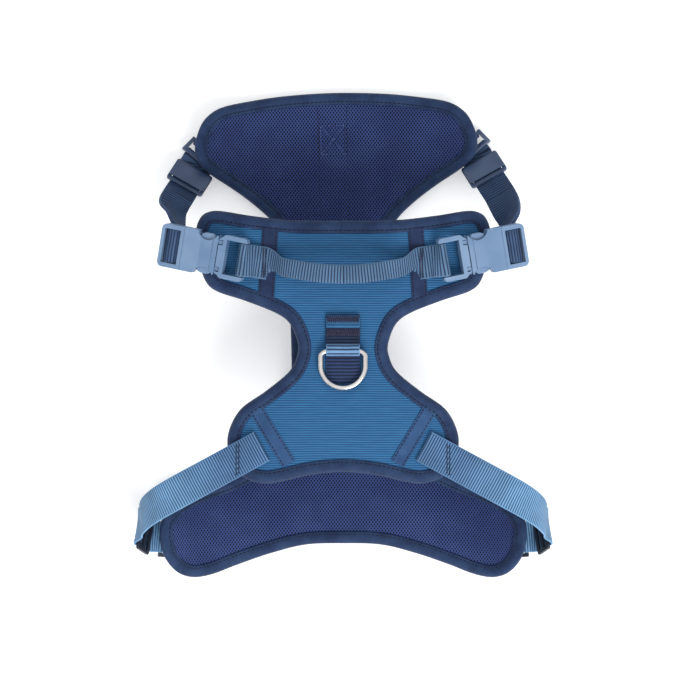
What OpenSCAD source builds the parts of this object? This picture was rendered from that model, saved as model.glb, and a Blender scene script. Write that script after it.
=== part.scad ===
// No pull dog harness, laid out as it is worn: back panel above, chest and belly panel below,
// joined by two neck straps and by two girth straps with side release buckles.
// Millimetres. +Y is towards the dog's tail, +Z is up, and the chest side rests on z = 0.

/* [Webbing] */
// Width of all straps
web_w = 25; // [24:0.5:25.5]
// Thickness of one layer of webbing
web_t = 1.4; // [1.2:0.1:1.5]

/* [Panels] */
// Thickness of mesh lining, foam and shell together
pad_t = 7.5; // [6:0.5:8]
// Thickness of the mesh lining
lining_t = 1.5; // [1:0.1:2]
// Thickness of the outer shell fabric
shell_t = 1; // [0.6:0.1:1.4]
// Visible width of the edge binding
bind_w = 10; // [8:0.5:11]
// Height of the back panel's underside
back_z = 80.5; // [80:0.5:84]
// Radius on which the wings of the back panel droop
droop_r = 220; // [215:5:300]
// Sideways lean of the belly panel against the chest panel
lean = 1.6; // [0:0.1:2]

/* [Rings] */
// Wire diameter of the leash rings
ring_d = 4; // [3:0.2:4]
// Outer width of the leash rings
ring_w = 37.5; // [36:0.5:40]
// Outer height of the leash rings from the bar's centre
ring_h = 29.5; // [26:0.5:32]

/* [Buckles] */
// Length of a closed buckle
buckle_l = 68; // [67:0.5:69]
// Width of a buckle
buckle_w = 33; // [32:0.5:34]
// Thickness of a buckle
buckle_t = 9; // [8.6:0.2:9.4]
// Length of the plug's frame outside the socket
plug_l = 22.5; // [22:0.5:23]

/* [Handle] */
// Height of the handle's middle above the table
handle_z = 113; // [108:1:120]
// Width of the folded grip
grip_w = 13.5; // [12:0.5:15]

/* [Hidden] */
$fn = 48;

bind_t = web_t;
low_z = bind_t;
arch_h = 7.5;
centre_y = -13.25;

function unit(v) = v / norm(v);
function ss(t) = let(u = max(0, min(1, t))) u * u * (3 - 2 * u);
function flip(p) = [-p[0], p[1]];

// Closed curve through points, n steps to a span
function through(p, n) = [for (i = [0 : len(p) - 1], k = [0 : n - 1])
    let(m = len(p), a = p[(i + m - 1) % m], b = p[i], c = p[(i + 1) % m], d = p[(i + 2) % m],
        t = k / n)
    0.5 * ((2 * b) + (c - a) * t + (2 * a - 5 * b + 4 * c - d) * t * t
        + (3 * b - a - 3 * c + d) * t * t * t)];
// Open curve through 3-D points, n steps to a span
function along(p, n) = [for (i = [0 : len(p) - 2], k = [0 : (i == len(p) - 2 ? n : n - 1)])
    let(a = p[max(i - 1, 0)], b = p[i], c = p[i + 1], d = p[min(i + 2, len(p) - 1)], t = k / n)
    0.5 * ((2 * b) + (c - a) * t + (2 * a - 5 * b + 4 * c - d) * t * t
        + (3 * b - a - 3 * c + d) * t * t * t)];
// A half outline and its mirror image
function whole(h) = concat(h, [for (i = [len(h) - 2 : -1 : 1]) flip(h[i])]);
function seg_dist(p, a, b) = let(t = max(0, min(1, ((p - a) * (b - a)) / ((b - a) * (b - a)))))
    norm(p - a - t * (b - a));
function clear_of(p, o) = min([for (i = [0 : len(o) - 1])
    seg_dist(p, o[i], o[(i + 1) % len(o)])]);
// Outline moved inwards by d (o runs clockwise)
function inset(o, d) = d == 0 ? o : [for (i = [0 : len(o) - 1])
    let(m = len(o), e = unit(o[i] - o[(i + m - 1) % m]), f = unit(o[(i + 1) % m] - o[i]),
        g = unit(e + f), q = o[i] + [g[1], -g[0]] * d / (g * e))
    if (clear_of(q, o) > d - 0.08) q];

// Half outlines, from the middle of the tail end to the middle of the neck end
back_half = [[0, 98], [40, 98.5], [70, 102], [93, 106], [103, 105.5], [109.5, 101], [113, 90],
    [111, 72], [106, 54], [97, 45], [75, 37.5], [51, 28], [40, 19.5], [34.3, 5], [35, -5],
    [41, -16.5], [58.5, -31], [77.5, -44.5], [86.5, -60], [88, -74], [83, -89], [73, -98],
    [59, -101.3], [45, -99.3], [25, -94.8], [0, -92.5]];
chest_half = [[0, 207.5], [40, 205.8], [68, 202], [88, 197], [99, 189.5], [105.5, 179.5],
    [109.5, 164], [107, 152], [98.5, 143], [80, 130.5], [64, 118], [50, 104], [42, 88],
    [38.5, 65], [38, 30], [38, -10], [40, -35], [46, -60], [56, -78], [72, -93], [92, -103.5],
    [117, -112.5], [134, -122.5], [143, -135], [143.7, -150], [140, -164], [131, -176],
    [119, -181], [104, -179.3], [86, -173], [57, -163.5], [30, -157], [0, -156]];

// The belly part leans to the left about the middle of the chest, and is a little wider right
function leaned(p) = let(a = lean * ss((p[1] + 90) / 80),
        x = p[0] * (p[0] > 0 ? 1 + 0.05 * ss((p[1] - 100) / 50) : 1))
    [x * cos(a) - (p[1] + 140) * sin(a), -140 + x * sin(a) + (p[1] + 140) * cos(a)];
back_out = through(whole(back_half), 3);
chest_out = through([for (p = whole(chest_half)) leaned(p)], 3);

// ---- Bent layers: everything between a and b above a panel's underside ----
function back_line(t) = [for (s = [-1, 1], k = [0 : 12])
    let(q = 26 * (s < 0 ? 12 - k : k) / 12)
    [s * (35 + (droop_r + t) * sin(q)), (droop_r + t) * cos(q) - droop_r]];
module back_bent(a, b) translate([0, 150, back_z]) rotate([90, 0, 0]) linear_extrude(300)
    polygon(concat(back_line(a), [for (i = [25 : -1 : 0]) back_line(b)[i]]));

function curl_line(t, x0, r, q1) = [for (s = [-1, 1], k = [0 : 9])
    let(q = q1 * (s < 0 ? 9 - k : k) / 9)
    [s * (x0 + (r - t) * sin(q)), r - (r - t) * cos(q)]];
module curl_bent(a, b, x0, r, q1, y0, y1) translate([0, y1, low_z]) rotate([90, 0, 0])
    linear_extrude(y1 - y0) polygon(concat(curl_line(a, x0, r, q1),
        [for (i = [19 : -1 : 0]) curl_line(b, x0, r, q1)[i]]));

// The strip between the front legs stands off the table over the front ring
arch_q = 2 * atan(arch_h / 30);
arch_r = 15 / sin(arch_q);
function rise(t) = concat(
    [for (k = [0 : 5]) let(q = arch_q * k / 5) [(arch_r - t) * sin(q), arch_r - (arch_r - t) * cos(q)]],
    [for (k = [4 : -1 : 0]) let(q = arch_q * k / 5)
        [30 - (arch_r + t) * sin(q), arch_h - arch_r + (arch_r + t) * cos(q)]]);
function hump(t) = concat([for (p = rise(t)) [p[0] - 78, p[1]]],
    [for (i = [10 : -1 : 0]) [92 - rise(t)[i][0], rise(t)[i][1]]]);

// One of the panel's three stretches: 0 the chest, 1 the strip, 2 the belly
module low_bent(k, a, b) {
    if (k == 0) curl_bent(a, b, 57, 128, 52, -200, -78);
    if (k == 1) translate([-60, 0, low_z]) rotate([90, 0, 90]) linear_extrude(120)
        polygon(concat(hump(a), [for (i = [21 : -1 : 0]) hump(b)[i]]));
    if (k == 2) translate([-6, 0, 0]) curl_bent(a, b, 52, 100, 44, 92, 230);
}
module prism(o) translate([0, 0, -20]) linear_extrude(150) polygon(o);
module at_rest() translate([0, centre_y, 0]) children();

// ---- Chest and belly panel ----
module chest_layer(a, b) at_rest() for (k = [0 : 2]) intersection() {
    low_bent(k, a, b);
    prism(inset(chest_out, 1.05));
}
module chest_lining() color([0.18, 0.23, 0.42]) chest_layer(pad_t - lining_t, pad_t);
module chest_foam() color([0.2, 0.2, 0.25]) chest_layer(shell_t, pad_t - lining_t);
module chest_shell() color([0.17, 0.42, 0.62]) chest_layer(0, shell_t);
module chest_binding() color([0.2, 0.29, 0.48]) at_rest() for (k = [0 : 2]) difference() {
    intersection() {
        low_bent(k, -bind_t, pad_t + bind_t);
        prism(chest_out);
    }
    intersection() {
        low_bent(k, 0, pad_t);
        prism(inset(chest_out, 1));
    }
    prism(inset(chest_out, bind_w));
}
module chest_webbing() color([0.24, 0.34, 0.5]) at_rest() for (k = [0 : 2]) intersection() {
    low_bent(k, -web_t, 0);
    prism([for (p = [[-12.5, -146], [12.5, -146], [12.5, -60], [12.5, 20], [12.5, 197], [-12.5, 197],
        [-12.5, 20], [-12.5, -60]]) leaned(p)]);
}

// ---- Back panel ----
module back_layer(a, b) at_rest() intersection() {
    back_bent(a, b);
    prism(inset(back_out, 1.05));
}
module back_lining() color([0.18, 0.23, 0.42]) back_layer(0, lining_t);
module back_foam() color([0.2, 0.2, 0.25]) back_layer(lining_t, pad_t - shell_t);
module back_shell() color([0.18, 0.45, 0.66]) back_layer(pad_t - shell_t, pad_t);
module back_binding() color([0.2, 0.29, 0.48]) at_rest() difference() {
    intersection() {
        back_bent(-bind_t, pad_t + bind_t);
        prism(back_out);
    }
    intersection() {
        back_bent(0, pad_t);
        prism(inset(back_out, 1));
    }
    prism(inset(back_out, bind_w));
}
// Tapes sewn over the panel's seams: the rear pair across the wings, the neck pair on the lobes
module tape(x0, y0, x1, y1, w) at_rest() intersection() {
    back_bent(pad_t, pad_t + 1);
    prism(inset(back_out, bind_w + 0.1));
    translate([(x0 + x1) / 2, (y0 + y1) / 2, 40]) rotate([0, 0, atan2(y1 - y0, x1 - x0)])
        cube([norm([x1 - x0, y1 - y0]), w, 200], center = true);
}
module rear_tape() color([0.18, 0.25, 0.4]) tape(54.8, 104, 58.5, 25, 12);
module neck_tape() color([0.2, 0.3, 0.47]) tape(70, -38, 36, -94, 11);
module other_side() mirror([1, 0, 0]) children();

// ---- Leash ring and its loop on the back ----
top_z = back_z + pad_t;
loop_r = ring_d / 2 + 0.2;
leash_bar = [0, -1, top_z + web_t + loop_r + web_t];
module dee() {
    c = (ring_w - ring_d) / 2;
    k = 4.5;
    h = ring_h - ring_d / 2 - c;
    rotate([0, 90, 0]) cylinder(d = ring_d, h = 2 * (c - k), center = true);
    for (s = [-1, 1]) {
        translate([s * (c - k), -k, 0]) rotate([0, 0, s > 0 ? 0 : 90])
            rotate_extrude(angle = 90) translate([k, 0]) circle(d = ring_d);
        translate([s * c, -k, 0]) rotate([90, 0, 0]) cylinder(d = ring_d, h = h - k);
    }
    translate([0, -h, 0]) rotate([0, 0, 180]) rotate_extrude(angle = 180)
        translate([c, 0]) circle(d = ring_d);
}
// Webbing folded round a ring's bar and sewn down flat on one side; up is 1 or -1
module ring_loop(up) rotate([90, 0, 90]) scale([1, up, 1]) difference() {
    linear_extrude(25.4, center = true) union() {
        circle(r = loop_r + web_t);
        polygon([[0, 0], [0.6, 3.5], [1.4, 3.3], [10.6, -2.2], [27, -2.2], [27, -3.6], [1.4, -3.6]]);
    }
    cylinder(r = loop_r, h = 40, center = true);
    linear_extrude(40, center = true) polygon([[2.6, 1.1], [2.6, -2.1], [7.8, -2.1]]);
}
module leash_loop() color([0.42, 0.56, 0.72]) at_rest() translate(leash_bar) ring_loop(1);
module leash_patch() color([0.2, 0.29, 0.44]) at_rest() translate([-13, -25, top_z])
    cube([26, 51, web_t]);
module leash_ring() color([0.85, 0.85, 0.85]) at_rest() translate(leash_bar)
    rotate([2, 0, 0]) dee();

// ---- Front leash ring under the chest strip ----
front_bar = [-0.6, -24, low_z + arch_h - web_t - loop_r - web_t];
module front_loop() color([0.24, 0.34, 0.5]) at_rest() translate(front_bar) ring_loop(-1);
module front_ring() color([0.85, 0.85, 0.85]) at_rest() translate(front_bar) dee();

// ---- Buckles: u runs outwards from the plug's end, v across, w up ----
module at_buckle() at_rest() translate([73, 67, 93.5]) rotate([9, 12, 12]) children();
module rounded(x0, x1, w, t, r) translate([x0, 0, 0]) linear_extrude(t, center = true) hull()
    for (x = [r, x1 - x0 - r], s = [-1, 1]) translate([x, s * (w / 2 - r)]) circle(r = r, $fn = 32);
bar_u = 3;
slot_v = web_w + 1;
module plug() color([0.53, 0.65, 0.8]) at_buckle() difference() {
    union() {
        difference() {
            linear_extrude(7, center = true) polygon(concat(
                [for (q = [270 : -15 : 180]) [3 + 3 * cos(q), -buckle_w / 2 + 3 + 3 * sin(q)]],
                [for (q = [180 : -15 : 90]) [3 + 3 * cos(q), buckle_w / 2 - 3 + 3 * sin(q)]],
                [[plug_l - 5, buckle_w / 2], [plug_l - 0.3, 12.5], [plug_l - 0.3, -12.5],
                    [plug_l - 5, -buckle_w / 2]]));
            translate([-1, -slot_v / 2, -6]) cube([plug_l - 5.5, slot_v, 12]);
        }
        translate([bar_u, 0, 0]) rotate([90, 0, 0]) cylinder(d = 4, h = slot_v + 2, center = true);
        translate([plug_l - 1, -3, -2]) cube([20, 6, 4]);
    }
    for (s = [-1, 1]) translate([plug_l + 0.5, s * 10.2, 0]) cube([8, 3.8, 8], center = true);
}
module arm(s) color([0.5, 0.62, 0.78]) at_buckle() scale([1, s, 1])
    translate([plug_l, 0, -2.2]) linear_extrude(4.4) polygon([[-3.4, 8.6], [-3.4, 11.8],
        [2.5, 11.8], [4, 14.6], [6, 15.4], [11, 15.4], [14, 14.2], [15.4, 11.2], [18.2, 11.2],
        [18.2, 13.4], [21, 13.4], [24, 10.8], [24, 8.6]]);
module socket() color([0.55, 0.67, 0.82]) at_buckle() difference() {
    rounded(plug_l, buckle_l, buckle_w, buckle_t, 4);
    translate([plug_l - 5, 0, 0]) cube([10, 60, 2], center = true);
    // cavity for the plug, with a step that the arms' hooks catch behind
    translate([plug_l - 5, -12, -2.6]) cube([5 + 26.5, 24, 5.2]);
    translate([plug_l + 18, -14.2, -2.6]) cube([8.5, 28.4, 5.2]);
    translate([plug_l - 5, -buckle_w, -2.6]) cube([5 + 15.5, 2 * buckle_w, 5.2]);
    // hollows in the sides, where fingers press the arms
    for (s = [-1, 1]) translate([plug_l + 8.7, s * 18.6, 0]) cylinder(r = 8.4, h = 20, center = true);
    // window with the strap's bar
    translate([buckle_l - 15.2, -slot_v / 2, -10]) cube([12.6, slot_v, 20]);
    translate([plug_l - 0.01, -buckle_w, -6]) cube([0.3, 2 * buckle_w, 12]);
    // moulded line between the window frame and the plate
    translate([buckle_l - 18.2, -buckle_w, buckle_t / 2 - 0.4]) cube([0.7, 2 * buckle_w, 1]);
}
socket_bar = buckle_l - 8.9;
module socket_bars() at_buckle() translate([socket_bar, 0, 0]) rotate([90, 0, 0])
    cylinder(d = 4, h = slot_v + 2, center = true);
module buckle_socket() {
    socket();
    color([0.55, 0.67, 0.82]) socket_bars();
}

// ---- Ribbons: straps swept along a path; each station is [point, across, width, thickness] ----
module ribbon(st) {
    n = len(st);
    ring = [for (i = [0 : n - 1])
        let(t = unit(st[min(i + 1, n - 1)][0] - st[max(i - 1, 0)][0]),
            w = unit(st[i][1] - (st[i][1] * t) * t), m = cross(t, w),
            a = w * st[i][2] / 2, b = m * st[i][3] / 2, p = st[i][0])
        [p - a - b, p + a - b, p + a + b, p - a + b]];
    pts = [for (r = ring, p = r) p];
    polyhedron(pts, concat([[0, 1, 2], [0, 2, 3]],
        [for (i = [0 : n - 2], k = [0 : 3], f = [0, 1]) let(a = 4 * i + k, b = 4 * i + (k + 1) % 4)
            f == 0 ? [a, a + 4, b + 4] : [a, b + 4, b]],
        [[4 * n - 4, 4 * n - 2, 4 * n - 3], [4 * n - 4, 4 * n - 1, 4 * n - 2]]));
}

// ---- Handle: flat and sewn at its roots, folded lengthwise into a grip in the middle ----
module handle_grip() color([0.42, 0.58, 0.75]) at_rest() ribbon([for (p = along([[-44, 62.5, 100],
    [-36, 61, 105.5], [-25, 59, handle_z - 3], [0, 57, handle_z], [25, 59, handle_z - 3],
    [36, 61, 105.5], [44, 62.5, 100]], 3)) [p, [0, 1, 0], grip_w, 2 * web_t + 0.4]]);
module handle_fold() color([0.42, 0.58, 0.75]) at_rest() ribbon([
    [[44.2, 62.5, 99.8], [0, 1, 0], grip_w, 2 * web_t + 0.4], [[49, 63.6, 95], [0, 1, 0], 15, 3],
    [[53.5, 64.8, 91.2], [0, 1, 0], 20, 2.2], [[58, 65.6, 89.6], [0, 1, 0], 24.4, 1.6]]);
module handle_anchor() color([0.35, 0.5, 0.68]) {
    at_rest() ribbon([[[58.9, 65.7, 89.45], [0, 1, 0], web_w, web_t],
        [[62, 66, 89], [0, 1, 0.02], web_w, web_t], [[66, 66.6, 89.2], [-0.1, 1, 0.08], web_w, web_t],
        [[70, 67, 91.2], [-0.17, 1, 0.12], web_w, web_t]]);
    at_buckle() difference() {
        translate([bar_u, 0, 0]) rotate([90, 0, 0]) linear_extrude(web_w, center = true) union() {
            circle(r = 2.2 + web_t);
            polygon([[-6, -2.9], [-6, -1.5], [-2, 2.9], [0, 3.5], [0, -3.5]]);
        }
        translate([bar_u, 0, 0]) rotate([90, 0, 0]) cylinder(r = 2.2, h = 60, center = true);
    }
}

// ---- Sliders and rectangular loops, in frames with x along the strap and y across it ----
module glide_shape() {
    difference() {
        translate([0, 0, -1.2]) linear_extrude(2.4) hull()
            for (x = [-8, 8], y = [-14, 14]) translate([x, y]) circle(r = 2, $fn = 32);
        for (s = [-1, 1]) translate([s * 4.15, 0, 0]) cube([5.7, slot_v, 6], center = true);
    }
}
loop_c = 5.4;
module loop_shape() {
    for (s = [-1, 1]) {
        translate([s * loop_c, 0, 0]) rotate([90, 0, 0]) cylinder(d = 3.2, h = 28, center = true);
        translate([0, s * 14.6, 0]) cube([2 * loop_c + 3.2, 2.8, 3.2], center = true);
    }
}
// Frame with its x axis along d and its y axis as near w as it can be
function frame(c, d, w) = let(x = unit(d), y = unit(w - (w * x) * x), z = cross(x, y))
    [[x[0], y[0], z[0], c[0]], [x[1], y[1], z[1], c[1]], [x[2], y[2], z[2], c[2]], [0, 0, 0, 1]];
function at(m, p) = let(q = m * [p[0], p[1], p[2], 1]) [q[0], q[1], q[2]];

// Girth side: the loop hangs from the belly wing's tip, the slider just past it. s is -1 on the
// left, where the points are given mirrored; they follow the belly panel's lean.
function on_belly(s, p) = let(q = leaned([s * p[0], p[1]])) [s * q[0], q[1], p[2]];
loop_w = [0.75, 0.66, 0];
glide_w = [0.86, 0.5, 0];
function gl_m(s) = frame(on_belly(s, [105, 159.5, 7.6]), [0.62, -0.70, 0.35], loop_w);
function gg_m(s) = frame(on_belly(s, [115.2, 141.2, 15.8]), [0.45, -0.80, 0.40], glide_w);
module girth_loop(s) color([0.25, 0.36, 0.52]) at_rest() multmatrix(gl_m(s)) loop_shape();
// the girth sliders have a smooth cover over the webbing on their middle bar
module girth_glide(s) color([0.25, 0.36, 0.52]) at_rest() multmatrix(gg_m(s)) {
    glide_shape();
    translate([0, 0, 3.1]) linear_extrude(1.3) hull()
        for (x = [-5.2, 5.2], y = [-13.6, 13.6]) translate([x, y]) circle(r = 1.8, $fn = 32);
    for (k = [-1, 1]) translate([0, k * 14.5, 2]) cube([11, 1.6, 3.2], center = true);
}
module tab_at(m, path) {
    multmatrix(m) translate([-loop_c, 0, 0]) rotate([90, 0, 0]) difference() {
        linear_extrude(web_w, center = true) union() {
            circle(r = 1.85 + web_t);
            polygon([[0, 3.2], [0, -3.2], [-5, -2.8], [-5, 0]]);
        }
        cylinder(r = 1.85, h = 60, center = true);
    }
    ribbon(path);
}
module girth_tab(s) color([0.24, 0.34, 0.5]) at_rest() tab_at(gl_m(s), [
    [at(gl_m(s), [-loop_c - 5.05, 0, -1.4]), loop_w, web_w, 2.6],
    [on_belly(s, [92, 173, 4.65]), [0.75, 0.66, 0.26], web_w, 2.6],
    [on_belly(s, [86, 179.5, 5.4]), [0.75, 0.66, 0.3], web_w, 2.6]]);
weave = [[-9.8, -2.9], [-7, -2.25], [-2.1, 2], [2.1, 2], [7, -2.25], [11.6, -2.25]];
function woven(m) = [for (p = weave) at(m, [p[0], 0, p[1]])];
module girth_strap(s) color([0.24, 0.36, 0.53]) {
    at_buckle() translate([socket_bar, 0, 0]) rotate([90, 0, 0]) difference() {
        linear_extrude(web_w, center = true) union() {
            circle(r = 2.2 + web_t);
            polygon([[-3.6, 0], [3.6, 0], [1.5, -12], [-1.5, -12]]);
        }
        cylinder(r = 2.2, h = 60, center = true);
        linear_extrude(60, center = true) polygon([[-2.2, 0], [2.2, 0], [0.1, -11], [-0.1, -11]]);
    }
    at_rest() ribbon(concat(
        [for (q = [[[126.9, 80.2, 70.4], [-0.17, 0.97, 0.15]], [[127, 82.5, 62], [0.0, 1, 0.3]],
            [[129.5, 91, 52], [0.2, 0.85, 0.7]], [[131, 102, 43.5], [0.5, 0.6, 0.7]]])
            [q[0], q[1], web_w, 2 * web_t + 0.2]],
        [for (q = [[[130, 113, 35.5], [0.8, 0.48, 0.36]], [[126.5, 122.5, 27.5], [0.86, 0.5, 0.1]]])
            [q[0] + [s < 0 ? 4 : -2, 0, 0], q[1], web_w, 2 * web_t + 0.2]],
        [for (i = [5 : -1 : 0]) [woven(gg_m(s))[i], glide_w, web_w - (i == 0 ? 5 : 0), web_t]],
        [[at(gl_m(s), [loop_c + 0.6, 0, -2.62]), loop_w, web_w - 7, web_t]]));
    at_rest() multmatrix(gl_m(s)) translate([loop_c, 0, 0]) rotate([90, 0, 0]) difference() {
        cylinder(r = 1.85 + web_t, h = web_w - 0.5, center = true);
        cylinder(r = 1.85, h = 60, center = true);
    }
}

// ---- Neck straps: sewn on the lobes, curling down and round to the chest panel's tips ----
curl_x = 119;
curl_z = 46.6;
curl_r = 39;
slope = 0.545;
neck_y = -72.5;
function neck_top(x) = [x, neck_y - slope * (x - 61), 88.9 - (x - 61) * (88.9 - curl_z - curl_r) / 58];
function neck_arc(q) = let(r = (q > 0 ? 90 - q : 90) * PI / 180, s = q > 0 ? 0 : -q * PI / 180)
    [curl_x + curl_r * cos(q), neck_y - slope * (58 + curl_r * r) - curl_r * (slope * s - 0.19 * s * s),
        curl_z + curl_r * sin(q)];
function neck_at(q) = [neck_arc(q), [0, -1, 0], web_w, web_t];
module neck_strap() color([0.42, 0.6, 0.78]) at_rest() ribbon(concat(
    [for (x = [61, 72, 84, 96, 108]) [neck_top(x), [0, -1, 0], web_w, web_t]],
    [for (q = [90 : -9 : 36]) neck_at(q)]));
// The slider's own width axis, for the webbing woven through it
ng_w = [for (i = [0 : 2]) frame(neck_arc(-19), neck_arc(-21) - neck_arc(-17), [0, -1, 0])[i][1]];
ng_m = frame(neck_arc(-19), neck_arc(-21) - neck_arc(-17), [0, -1, 0]);
nl_m = frame(neck_arc(-19) + 22 * unit(neck_arc(-48) - neck_arc(-34)) + [-2, 0, -1],
    [-0.92, -0.1, -0.3], [0, -1, 0]);
module neck_glide() color([0.13, 0.17, 0.25]) at_rest() multmatrix(ng_m) glide_shape();
module neck_loop() color([0.13, 0.17, 0.25]) at_rest() multmatrix(nl_m) loop_shape();
module neck_return() color([0.3, 0.42, 0.57]) at_rest() {
    ribbon(concat([for (q = [35.7, 27, 18, 9]) neck_at(q)],
        [for (i = [0 : 5]) [woven(ng_m)[i], ng_w, web_w - (i == 0 || i == 5 ? 2.5 : 0), web_t]],
        [[at(nl_m, [-loop_c - 4.5, 0, 0.4]), [0, -1, 0], web_w - 4, web_t]]));
    multmatrix(nl_m) translate([-loop_c, 0, 0]) rotate([90, 0, 0]) difference() {
        linear_extrude(web_w, center = true) union() {
            circle(r = 1.85 + web_t);
            polygon([[0, 3.2], [0, -3.2], [-4.4, -0.6], [-4.4, 1.0]]);
        }
        cylinder(r = 1.85, h = 60, center = true);
    }
}
module neck_tab() color([0.2, 0.28, 0.42]) at_rest() {
    multmatrix(nl_m) translate([loop_c, 0, 0]) rotate([90, 0, 0]) difference() {
        linear_extrude(web_w, center = true) union() {
            circle(r = 1.85 + web_t);
            polygon([[0, 3.2], [0, -3.2], [5, -1.4], [5, 1.4]]);
        }
        cylinder(r = 1.85, h = 60, center = true);
    }
    ribbon([[at(nl_m, [loop_c + 5.05, 0, 0]), [0, -1, 0], web_w, 2.6],
        [[106, -152, 7.6], [0, -1, 0], web_w, 2.6], [[92, -151, 3.4], [0, -1, 0], web_w, 2.6]]);
}

chest_webbing();
chest_shell();
chest_foam();
chest_lining();
chest_binding();
back_lining();
back_foam();
back_shell();
back_binding();
other_side() rear_tape();  // rear_tape_l
rear_tape();  // rear_tape_r
other_side() neck_tape();  // neck_tape_l
neck_tape();  // neck_tape_r
leash_patch();
leash_loop();
leash_ring();
front_loop();
front_ring();
other_side() plug();  // buckle_plug_l
plug();  // buckle_plug_r
other_side() buckle_socket();  // buckle_socket_l
buckle_socket();  // buckle_socket_r
other_side() arm(1);  // arm_rear_l
other_side() arm(-1);  // arm_front_l
arm(1);  // arm_rear_r
arm(-1);  // arm_front_r
handle_grip();
other_side() handle_fold();  // handle_fold_l
handle_fold();  // handle_fold_r
other_side() handle_anchor();  // handle_anchor_l
handle_anchor();  // handle_anchor_r
other_side() girth_strap(-1);  // girth_strap_l
girth_strap(1);  // girth_strap_r
other_side() girth_glide(-1);  // girth_glide_l
girth_glide(1);  // girth_glide_r
other_side() girth_loop(-1);  // girth_loop_l
girth_loop(1);  // girth_loop_r
other_side() girth_tab(-1);  // girth_tab_l
girth_tab(1);  // girth_tab_r
other_side() neck_strap();  // neck_strap_l
neck_strap();  // neck_strap_r
other_side() neck_return();  // neck_return_l
neck_return();  // neck_return_r
other_side() neck_glide();  // neck_glide_l
neck_glide();  // neck_glide_r
other_side() neck_loop();  // neck_loop_l
neck_loop();  // neck_loop_r
other_side() neck_tab();  // neck_tab_l
neck_tab();  // neck_tab_r
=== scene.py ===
# No pull dog harness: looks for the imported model. Points are written in millimetres in the
# part's drawing frame; P() turns them into the row frame's metres.
import math
import bpy
import numpy as np
from mathutils import Matrix, Vector, noise
from mathutils.geometry import delaunay_2d_cdt


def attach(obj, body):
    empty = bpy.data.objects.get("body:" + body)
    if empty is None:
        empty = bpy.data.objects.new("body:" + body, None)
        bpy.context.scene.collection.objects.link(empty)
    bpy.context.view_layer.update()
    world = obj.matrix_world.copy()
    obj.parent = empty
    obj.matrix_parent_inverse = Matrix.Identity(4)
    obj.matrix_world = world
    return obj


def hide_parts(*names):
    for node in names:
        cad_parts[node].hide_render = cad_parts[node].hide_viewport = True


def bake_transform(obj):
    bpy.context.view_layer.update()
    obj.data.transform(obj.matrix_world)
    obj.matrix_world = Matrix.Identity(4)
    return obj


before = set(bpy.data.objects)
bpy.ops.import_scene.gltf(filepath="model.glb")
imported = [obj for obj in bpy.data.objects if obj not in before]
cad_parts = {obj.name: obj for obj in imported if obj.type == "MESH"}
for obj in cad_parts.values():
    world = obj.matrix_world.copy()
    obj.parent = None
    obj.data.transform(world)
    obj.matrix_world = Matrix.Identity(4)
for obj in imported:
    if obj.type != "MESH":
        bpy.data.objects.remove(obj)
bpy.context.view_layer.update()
scene = bpy.context.scene


def P(p):
    return (np.asarray(p, float) + np.array([0, -13.25, 0])) * 0.001


def unit(v):
    v = np.asarray(v, float)
    return v / np.linalg.norm(v)


# ---- Camera, straight above ----
cam = bpy.data.objects.new("camera", bpy.data.cameras.new("camera"))
cam.data.lens, cam.data.sensor_width = 82.54, 36
cam.location = (0.0053, -0.01325, 1.3)
scene.collection.objects.link(cam)
scene.camera = cam


# ---- Materials ----
class G:
    """A small node graph builder round one Principled BSDF."""

    def __init__(self, name, **sockets):
        self.m = bpy.data.materials.new(name)
        self.m.use_nodes = True
        self.t = self.m.node_tree
        self.b = next(n for n in self.t.nodes if n.type == "BSDF_PRINCIPLED")
        for k, v in sockets.items():
            self.b.inputs[k.replace("_", " ")].default_value = v

    def node(self, kind, props=(), **inputs):
        n = self.t.nodes.new("ShaderNode" + kind)
        for k, v in dict(props).items():
            setattr(n, k, v)
        for k, v in inputs.items():
            self.put(n.inputs[k.replace("_", " ")], v)
        return n

    def put(self, socket, v):
        if isinstance(v, bpy.types.NodeSocket):
            self.t.links.new(v, socket)
        else:
            socket.default_value = v

    def math(self, op, *args):
        n = self.node("Math", {"operation": op})
        for i, a in enumerate(args):
            self.put(n.inputs[i], a)
        return n.outputs[0]

    def mix(self, f, a, b, mode="MIX"):
        n = self.node("Mix", {"data_type": "RGBA", "blend_type": mode})
        self.put(n.inputs[0], f)
        self.put(n.inputs[6], a)
        self.put(n.inputs[7], b)
        return n.outputs[2]

    def ramp(self, v, lo, hi, a=0.0, b=1.0):
        n = self.node("MapRange", {"interpolation_type": "SMOOTHSTEP"})
        for s, x in zip(("Value", "From Min", "From Max", "To Min", "To Max"), (v, lo, hi, a, b)):
            self.put(n.inputs[s], x)
        return n.outputs[0]

    def uv(self):
        s = self.node("SeparateXYZ")
        self.t.links.new(self.node("UVMap", {"uv_map": "mm"}).outputs[0], s.inputs[0])
        return s.outputs[0], s.outputs[1]

    def wave(self, v, pitch, phase=0.0):
        """0 to 1 along v with the given pitch."""
        a = self.math("MULTIPLY_ADD", v, 2 * math.pi / pitch, phase)
        return self.math("MULTIPLY_ADD", self.math("COSINE", a), 0.5, 0.5)

    def noise(self, scale, detail=2.0, rough=0.5, where="Object"):
        src = self.node("TexCoord").outputs[where]
        n = self.node("TexNoise", Vector=src, Scale=scale, Detail=detail, Roughness=rough)
        return n.outputs[0]

    def bump(self, height, distance, strength=1.0):
        n = self.node("Bump", Height=height, Distance=distance, Strength=strength)
        self.t.links.new(n.outputs[0], self.b.inputs["Normal"])

    def color(self, c):
        self.put(self.b.inputs["Base Color"], c)
        return self.m


def rgb(r, g, b):
    """Linear colour from 0 to 255 sRGB values."""
    return tuple(((c / 255 + 0.055) / 1.055) ** 2.4 if c > 10 else c / 3295 for c in (r, g, b)) + (1.0,)


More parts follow.
